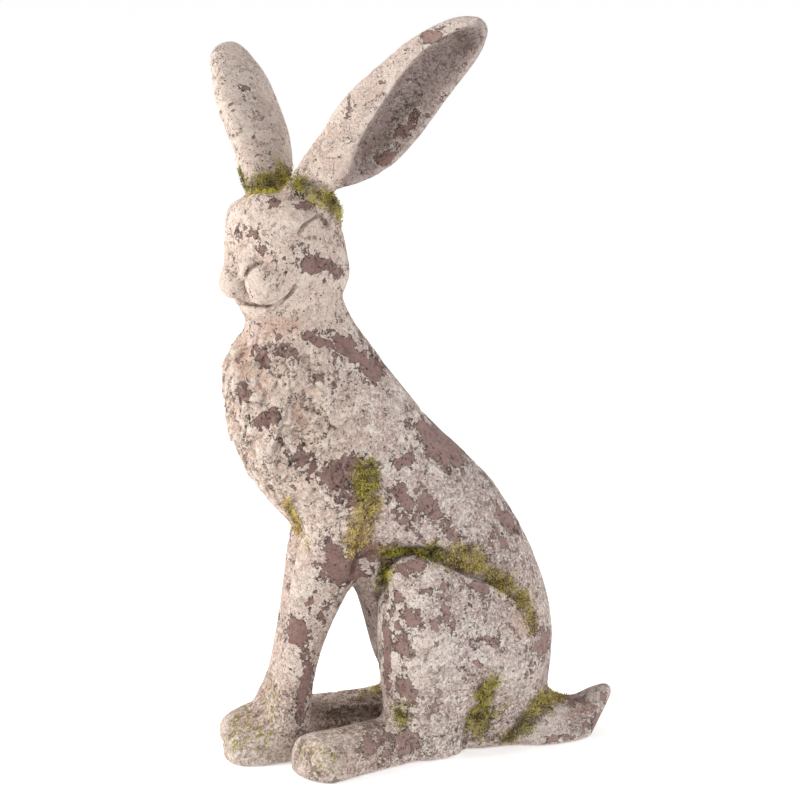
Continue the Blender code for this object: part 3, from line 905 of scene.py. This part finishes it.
class CastFinish(Finish):
    """The cast's material, with the noises and numbers that its layers share."""

    def __init__(self):
        super().__init__("weathered_cast")
        self.wear = self.number("wear")
        self.hollow = self.number("hollow")
        self.chest = self.number("chest")
        self.front_lighting_and_tint = self.number("front_lighting_and_tint")
        self.ear = self.number("ear")
        self.dirt = self.number("dirt")
        self.bent = self.jitter(0.004, 160)
        self.small_chips = self.cell_number(380, self.bent) - 0.5
        self.ragged = self.grain(200, 9, 0.70, self.bent) - 0.5
        self.grit = self.grain(700, 5, 0.70) - 0.5
        self.cloud = self.grain(28, 4, 0.55)
        self.film = self.grain(420, 7, 0.76, self.bent)
        self.dust = self.grain(1300, 3, 0.7)

    def looseness(self):
        """Above 0 where the coat is off: in the patches, and in chips where it is worn."""
        chips = self.cell_number(130, self.bent) - 0.5
        patch = self.number("bare") + 8 * chips + 5 * self.small_chips + 24 * self.ragged
        blotches = self.grain(95, 9, 0.66, self.bent) + 0.05 * self.small_chips + 0.12 * self.wear
        crumbs = self.grain(330, 6, 0.66, self.bent) + 0.06 * self.wear
        loose = ((blotches - 0.650) * 110).top((crumbs - 0.665) * 60)
        return patch.top(loose) + 5 * self.grit

    def coat(self, thinned, plate_edge_shadow, rim):
        """The stone-coloured coat with its film, dust and stains, and painted light and shade:
        orange-tinted light on the front, shade in the near ear's hollow, shadow lines along the plates'
        edges and highlights along the flakes' edges.
        """
        rubbed = self.grain(64, 10, 0.72, self.bent) + 0.10 * self.wear + 0.10 * self.grit
        specks = (self.film + 0.5 * self.ragged).step(0.49, 0.58)
        return self.layers(
            self.mix(self.cloud.step(0.40, 0.60), paint("cream"), paint("rosy cream")),
            (thinned * 0.80, "thinned coat"),
            (rubbed.step(0.50, 0.62) * 0.55, "rubbed coat"),
            (self.number("pale") * (1 - rubbed).step(0.40, 0.56) * 0.7, "chalk"),
            (self.film.step(0.53, 0.59) * 0.72, "dark film"),
            ((1 - self.film).step(0.52, 0.59) * 0.84, "light film"),
            (self.dust.step(0.54, 0.62) * 0.50, "light grains"),
            ((1 - self.dust).step(0.54, 0.62) * 0.50, "dark grains"),
            (self.number("head") * 0.48, "smooth face"),
            # Painted orange-tinted light on the front with the coat's own peach tint, more on the chest
            (self.front_lighting_and_tint * (0.24 + 0.22 * self.chest), "peach"),
            (self.number("rust") * 0.40, "rust"),
            # Painted shade in the near ear's hollow
            (self.ear * 0.75, "ear hollow shade"),
            (self.ear * specks * 0.60, "ear specks"),
            (self.number("tan") * 0.16, "tan"),
            # Painted shadow lines along the plates' edges
            (plate_edge_shadow * 0.70, "plate edge shadow"),
            # Painted highlights along the coat's edge around the bare patches
            (rim * 0.50, "flake rim highlight"),
        )

    def body(self):
        """The brown body colour that shows where the coat is off, with painted shade on the front and in
        the near ear's hollow.
        """
        return self.layers(
            # Painted shade: the bare body darker on the front than at the back
            self.mix(self.front_lighting_and_tint, paint("mauve body"), paint("brown body")),
            (self.cloud.step(0.40, 0.60) * 0.25, "body cloud"),
            (self.dirt * 0.55, "dusty body"),
            # Painted shade on the bare body in the near ear's hollow
            (self.ear * 0.60, "shaded ear body"),
            (self.film.step(0.50, 0.62) * 0.40, "dark body"),
            ((1 - self.film).step(0.56, 0.66) * 0.40, "light body"),
            (self.dust.step(0.60, 0.68) * 0.5, "body grains"),
        )

    def pits(self):
        """Small holes all over, more of them near the ground, and larger ones on the chest."""
        small = self.holes(280, 0.85, self.bent) + self.holes(520, 0.66 - 0.3 * self.dirt, self.bent)
        return small + self.holes(120, 0.86, self.bent) * self.chest

    def cracks(self):
        """Thin broken lines, more of them on the chest."""
        line = (self.grain(75, 7, 0.62, self.bent) - 0.5).size()
        broken = (self.grain(38, 3) + 0.13 * self.chest).step(0.55, 0.59)
        return (1 - line.step(0.004, 0.015)) * broken


def weathered_cast():
    """The flaking coat over the brown body, with pits and a stain of moss, and painted light and shade:
    shade in hollows, creases, holes and cracks, shadow lines at coat edges, and highlights on rounded
    parts.
    """
    finish = CastFinish()
    ragged, grit, film, hollow = finish.ragged, finish.grit, finish.film, finish.hollow
    off = finish.looseness()
    bare = off.step(-0.5, 0.5)
    # A painted highlight along the coat's edge around the bare patches
    rim = off.step(-3.6, -0.8) * (1 - bare)
    # A painted shadow line, in broken stretches, just inside the bare patches' edges
    coat_edge_shadow = off.step(-0.7, 0.4) * (1 - off.step(0.4, 2.8)) * finish.grain(150, 2).step(0.34, 0.50)
    plates = finish.grain(72, 10, 0.66, finish.bent) + 0.08 * finish.wear
    plates = plates + 0.03 * finish.small_chips + 0.05 * grit
    thinned = plates.step(0.505, 0.530)
    # A painted shadow line along part of the thinned plates' edges
    plate_edge_shadow = plates.step(0.495, 0.512) * (1 - thinned) * finish.grain(90, 2).step(0.44, 0.56)
    pit, crack = finish.pits(), finish.cracks()

    dirt = finish.dirt * (film + 0.5 * grit).step(0.47, 0.60) * 0.66 * (1 - 0.6 * bare)
    # Painted shade in the creases, with ragged, speckled edges
    shadow = (finish.number("shadow") + 16 * ragged + 16 * (film - 0.5) + 8 * grit).step(-2.5, 2.5)
    # Painted highlight on rounded, outward parts of the coat, more on the chest and hardly on bare patches
    rubbed = (0 - hollow).step(0.20, 1.2) * (0.35 + 0.25 * finish.chest) * (1 - 0.85 * bare)
    colour = finish.layers(
        finish.mix(bare, finish.coat(thinned, plate_edge_shadow, rim), finish.body()),
        # Painted shadow lines where the coat's edge meets the bare body
        (coat_edge_shadow * 0.85, "coat_edge_shadow"),
        # Painted shade in the small holes
        (pit * 0.85, "pit"),
        # Painted shadow in the thin cracks
        (crack * 0.85, "crack"),
        # Painted shade in hollows, less on the chest
        (hollow.step(0.25, 1.3) * (0.42 - 0.26 * finish.chest), "hollow shade"),
        (dirt, "ground dirt"),
        (shadow * 0.66, "crease shade"),
        (rubbed, "convex highlight"),
    )
    # The moss's stain on the skin: partly its own soil colour, partly painted shade between and under the
    # fibres
    stain = finish.number("moss") + 26 * ragged + 5 * finish.small_chips + 9 * grit - 3
    soil = finish.mix(finish.number("green"), paint("dry soil"), paint("moss soil and shade"))
    colour = finish.mix(stain.step(-4, 4) * 0.66, colour, soil)
    streaks = finish.number("tint") * (ragged + 0.5 + 0.6 * grit).step(0.50, 0.58)
    colour = finish.layers(colour, (streaks * 0.85, "green streak"))

    lumps = finish.grain(150, 6, 0.66, finish.bent) * (1.6 + 2.2 * finish.chest)
    grains = finish.grain(480, 6, 0.74) * 2.0
    height = 0.7 * (1 - bare) + 0.30 * (1 - thinned) + (lumps + grains) * (1 - 0.45 * bare)
    height = height - 0.7 * pit - 0.6 * crack
    shader = finish.shader
    finish.feed(shader.inputs["Base Color"], colour)
    finish.feed(shader.inputs["Normal"], finish.relief(height, COAT_RELIEF))
    finish.feed(shader.inputs["Roughness"], 0.94 - 0.14 * bare)
    shader.inputs["Specular IOR Level"].default_value = 0.25
    return finish.material


def moss_finish():
    """Green to straw-coloured fibres, with painted shade darkening them towards their roots."""
    finish = Finish("moss_fibres")
    bright = finish.number("bright")
    straw = finish.mix(bright, paint("dark straw"), paint("light straw"))
    fresh = finish.mix(bright, paint("dark moss"), paint("light moss"))
    colour = finish.mix(finish.number("green"), straw, fresh)
    colour = finish.layers(colour, (finish.number("root") * 0.88, "shade at moss roots"))
    finish.feed(finish.shader.inputs["Base Color"], colour)
    finish.shader.inputs["Roughness"].default_value = 0.95
    finish.shader.inputs["Specular IOR Level"].default_value = 0.15
    return finish.material


# Moss


def fibre_template():
    """One tapered three-sided fibre, 1 long and about 1 wide, standing on its root."""
    bpy.ops.object.select_all(action="DESELECT")
    bpy.ops.mesh.primitive_cone_add(vertices=3, radius1=0.5, radius2=0, depth=1, location=(0, 0, 0.5))
    fibre = bpy.context.object
    bpy.ops.object.mode_set(mode="EDIT")
    bpy.ops.mesh.select_all(action="SELECT")
    bpy.ops.mesh.bisect(plane_co=(0, 0, 0.5), plane_no=(0, 0, 1))
    bpy.ops.mesh.quads_convert_to_tris()
    bpy.ops.object.mode_set(mode="OBJECT")
    bpy.ops.object.transform_apply(location=True, rotation=True, scale=True)
    mesh = fibre.data
    corners = np.array([v.co[:] for v in mesh.vertices])
    faces = np.array([tuple(face.vertices) for face in mesh.polygons if len(face.vertices) == 3])
    bpy.data.objects.remove(fibre)
    middle = (corners[:, 2] > 0.3) & (corners[:, 2] < 0.7)
    corners[middle, :2] *= 1.5
    return corners, faces


def scatter(mesh, spots, per_square_mm, seed):
    """Root points spread over the beds, with their normals and greenness."""
    chooser = np.random.default_rng(seed)
    points, normals = read_skin(mesh)
    faces = np.empty(3 * len(mesh.polygons), dtype=np.int32)
    mesh.polygons.foreach_get("vertices", faces)
    faces = faces.reshape(-1, 3)
    depth, green = spots.depth(points, normals)
    share = soft_step(depth + 10.0 * ripple(points, 0.010, 81, 3), -6, 8)
    a, b, c = (points[faces[:, k]] for k in range(3))
    area = 0.5e6 * np.linalg.norm(np.cross(b - a, c - a), axis=1)
    amount = area * per_square_mm * share[faces].mean(axis=1)
    counts = chooser.poisson(amount)
    chosen = np.repeat(np.arange(len(faces)), counts)
    weights = chooser.dirichlet((1, 1, 1), len(chosen))
    roots = np.einsum("ij,ijk->ik", weights, points[faces[chosen]])
    ups = np.einsum("ij,ijk->ik", weights, normals[faces[chosen]])
    ups /= np.linalg.norm(ups, axis=1)[:, None]
    greens = np.einsum("ij,ij->i", weights, green[faces[chosen]])
    shares = np.einsum("ij,ij->i", weights, share[faces[chosen]])
    return chooser, roots, ups, greens, shares


def fibre_axes(chooser, ups):
    """Each fibre's own way, out of the skin and a little down, and two square to it."""
    count = len(ups)
    lean = chooser.normal(0, 0.75, (count, 3)) + np.array((0, 0, -0.30))
    along = 0.45 * ups + lean
    rise = np.einsum("ij,ij->i", along, ups)
    along += ups * np.maximum(0.18 - rise, 0)[:, None]
    along /= np.linalg.norm(along, axis=1)[:, None]
    aside = np.cross(along, chooser.normal(0, 1, (count, 3)))
    aside /= np.linalg.norm(aside, axis=1)[:, None]
    return along, aside, np.cross(along, aside)


def make_moss(cast, name, spots, finish, seed):
    """One bed of moss: thousands of short fibres that lean down and over each other."""
    density = FIBRE_DENSITY
    chooser, roots, ups, greens, shares = scatter(cast.data, spots, density, seed)
    count = len(roots)
    corners, faces = fibre_template()
    length = chooser.uniform(*FIBRE_LENGTHS, count) * (0.45 + 0.55 * shares)
    width = chooser.uniform(*FIBRE_WIDTHS, count)
    along, aside, across = fibre_axes(chooser, ups)
    droop = chooser.normal(0, 0.25, (count, 1))
    rise = corners[:, 2]
    bend = width[:, None] * corners[:, 0] + length[:, None] * droop * rise**2
    places = (
        roots[:, None]
        - ROOT_DEPTH * ups[:, None]
        + along[:, None] * (length[:, None] * rise)[..., None]
        + aside[:, None] * bend[..., None]
        + across[:, None] * (width[:, None] * corners[:, 1])[..., None]
    ).reshape(-1, 3)
    places[:, 2] = np.maximum(places[:, 2], LOWEST_FIBRE)
    starts = np.arange(count)[:, None, None] * len(corners)
    mesh = bpy.data.meshes.new(name)
    mesh.from_pydata(places.tolist(), [], (faces[None] + starts).reshape(-1, 3).tolist())
    tint = np.clip(greens + chooser.normal(0, 0.22, count), 0, 1)
    add_numbers(mesh, "green", np.repeat(tint, len(corners)))
    clumps = 1.25 * ripple(roots, 0.0036, 97, 2)
    bright = np.clip(0.52 + clumps + chooser.normal(0, 0.36, count) + 0.08, 0, 1)
    add_numbers(mesh, "bright", np.repeat(bright, len(corners)))
    # Painted shade towards each fibre's root
    root = np.clip(1 - rise[None] * 2.2 + chooser.uniform(-0.3, 0.3, (count, 1)), 0, 1)
    add_numbers(mesh, "root", root.reshape(-1))
    moss = bpy.data.objects.new(name, mesh)
    bpy.context.scene.collection.objects.link(moss)
    mesh.materials.append(finish)
    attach(moss, "root")
    return moss


# The studio


FLOOR_SIZE = 80
FLOOR_GLOW = 0.36
SKY_STRENGTH = 0.66
LIGHT_AIM = Vector((0, 0, 0.25))

# Lights: name, metres from the aim to the right, to the camera and up, size, watts, colour
LIGHTS = [
    ("key", -2.2, 0.7, 1.0, 0.9, 40, (1.0, 0.97, 0.93)),
    ("fill", 1.8, 1.2, 0.5, 1.6, 18, (0.97, 0.97, 1.0)),
    ("edge", -1.8, -0.7, 0.5, 1.2, 20, (1.0, 0.97, 0.94)),
]


def area_light(name, place, size, watts, colour):
    """A round soft light that shines on the middle of the figure."""
    data = bpy.data.lights.new(name, "AREA")
    data.shape = "DISK"
    data.size = size
    data.energy = watts
    data.color = colour
    light = bpy.data.objects.new(name, data)
    light.location = place
    light.rotation_euler = (LIGHT_AIM - place).to_track_quat("-Z", "Y").to_euler()
    bpy.context.scene.collection.objects.link(light)


def make_floor():
    """A wide sheet of white paper, which glows a little so that it stays white to its end."""
    bpy.ops.object.select_all(action="DESELECT")
    bpy.ops.mesh.primitive_plane_add(size=FLOOR_SIZE, location=(0, 0, -0.0005))
    floor = bpy.context.object
    floor.name = "studio_floor"
    finish = Finish("white_paper")
    finish.shader.inputs["Base Color"].default_value = (0.95, 0.95, 0.95, 1)
    finish.shader.inputs["Roughness"].default_value = 1.0
    finish.shader.inputs["Specular IOR Level"].default_value = 0.0
    finish.shader.inputs["Emission Color"].default_value = (1, 1, 1, 1)
    finish.shader.inputs["Emission Strength"].default_value = FLOOR_GLOW
    floor.data.materials.append(finish.material)


def make_studio():
    """Floor, lights, white surroundings and the camera."""
    make_floor()
    right, back = NEAR_SIDE.right, NEAR_SIDE.back
    for name, aside, toward, up, size, watts, colour in LIGHTS:
        place = LIGHT_AIM + right * aside + back * toward + Vector((0, 0, up))
        area_light(name, place, size, watts, colour)

    world = bpy.data.worlds.new("studio")
    world.use_nodes = True
    background = world.node_tree.nodes["Background"]
    background.inputs["Color"].default_value = (1, 1, 1, 1)
    background.inputs["Strength"].default_value = SKY_STRENGTH
    bpy.context.scene.world = world
    bpy.context.scene.view_settings.view_transform = "Standard"

    data = bpy.data.cameras.new("camera")
    data.sensor_width = SENSOR
    data.lens = LENS
    camera = bpy.data.objects.new("camera", data)
    turn = Matrix((right, NEAR_SIDE.up, back)).transposed().to_4x4()
    turn.translation = NEAR_SIDE.eye
    camera.matrix_world = turn
    bpy.context.scene.collection.objects.link(camera)
    bpy.context.scene.camera = camera


cast, tree = make_cast()
cast.data.materials.clear()
cast.data.materials.append(weathered_cast())
fibres = moss_finish()
sides = [(NEAR_SIDE, MOSS_BEDS), (FAR_SIDE, FAR_MOSS_BEDS)]
beds = [(name, Spots(tree, bed, view)) for view, group in sides for name, bed in group.items()]
for order, (bed_name, spots) in enumerate(beds):
    make_moss(cast, f"moss_{bed_name}", spots, fibres, FIRST_SEED + order)
make_studio()
